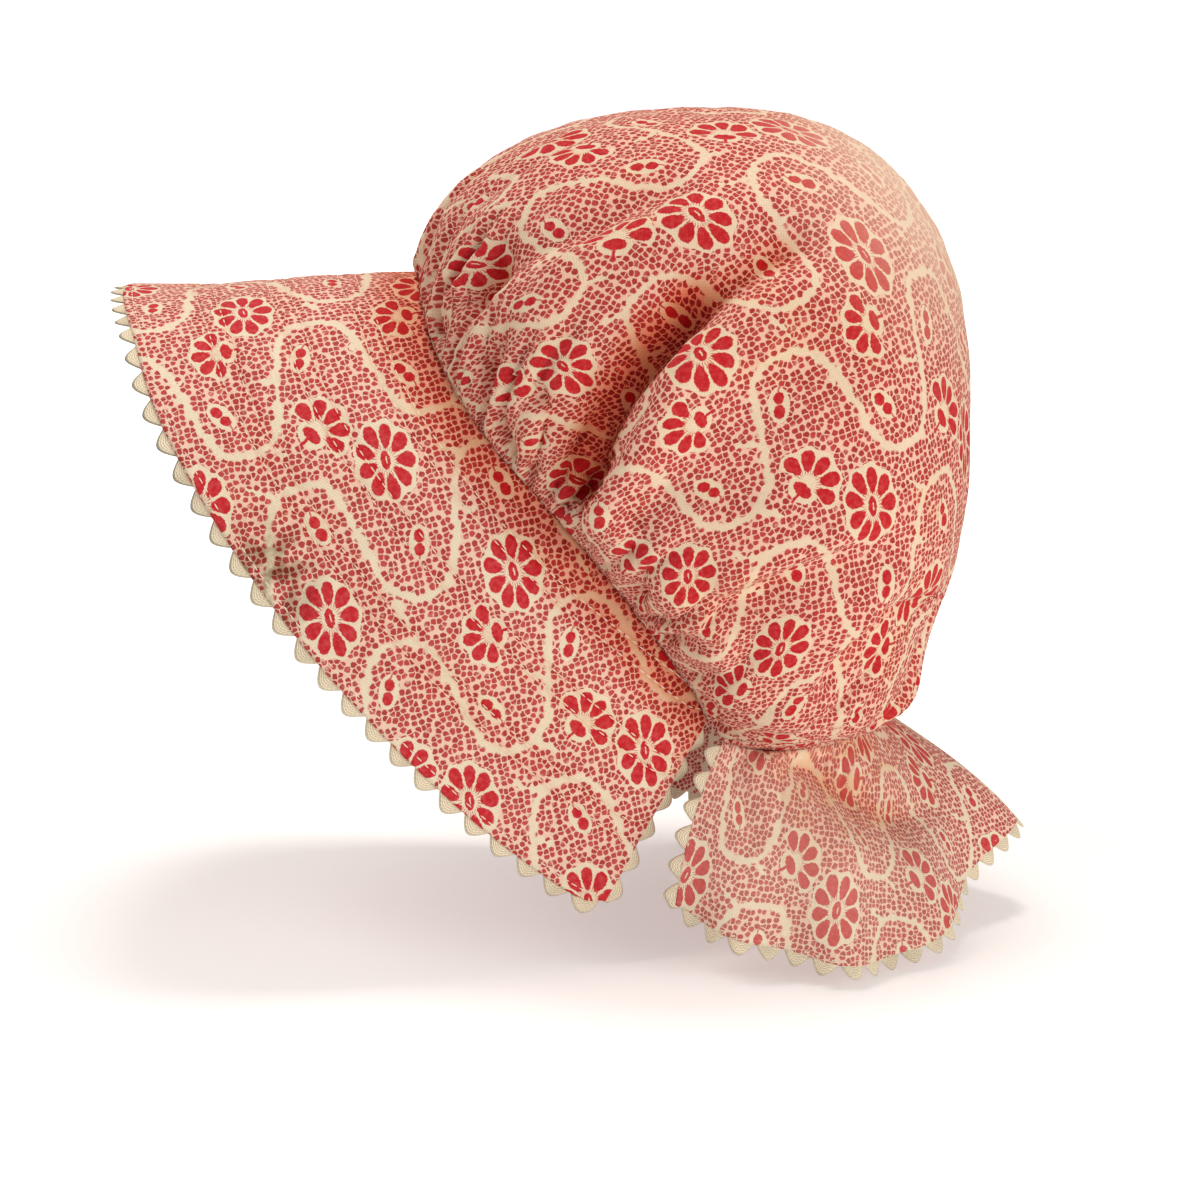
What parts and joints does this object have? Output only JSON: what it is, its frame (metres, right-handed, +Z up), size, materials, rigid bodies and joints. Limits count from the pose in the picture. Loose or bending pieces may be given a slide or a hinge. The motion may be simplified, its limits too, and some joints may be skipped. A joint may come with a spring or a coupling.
{
  "type": "prairie bonnet",
  "caption": "Cloth prairie bonnet with a deep stiff brim, a puffed gathered crown, a neck curtain and rickrack braid along the free edges.",
  "frame": {"origin": "inside of the crown's top, where the head bears", "axes": "+Z up, -X the way the wearer faces and the brim points, +Y the wearer's right"},
  "size_m": [0.3443, 0.2258, 0.2996],
  "materials": {
    "calico": "plain-weave cotton, small red floral print on cream, matt and washed",
    "rickrack": "ivory woven rickrack braid, matt"
  },
  "bodies": {
    "root": {"brim": "calico", "crown": "calico", "curtain": "calico", "brim_rickrack": "rickrack", "curtain_rickrack": "rickrack"}
  },
  "joints": []
}
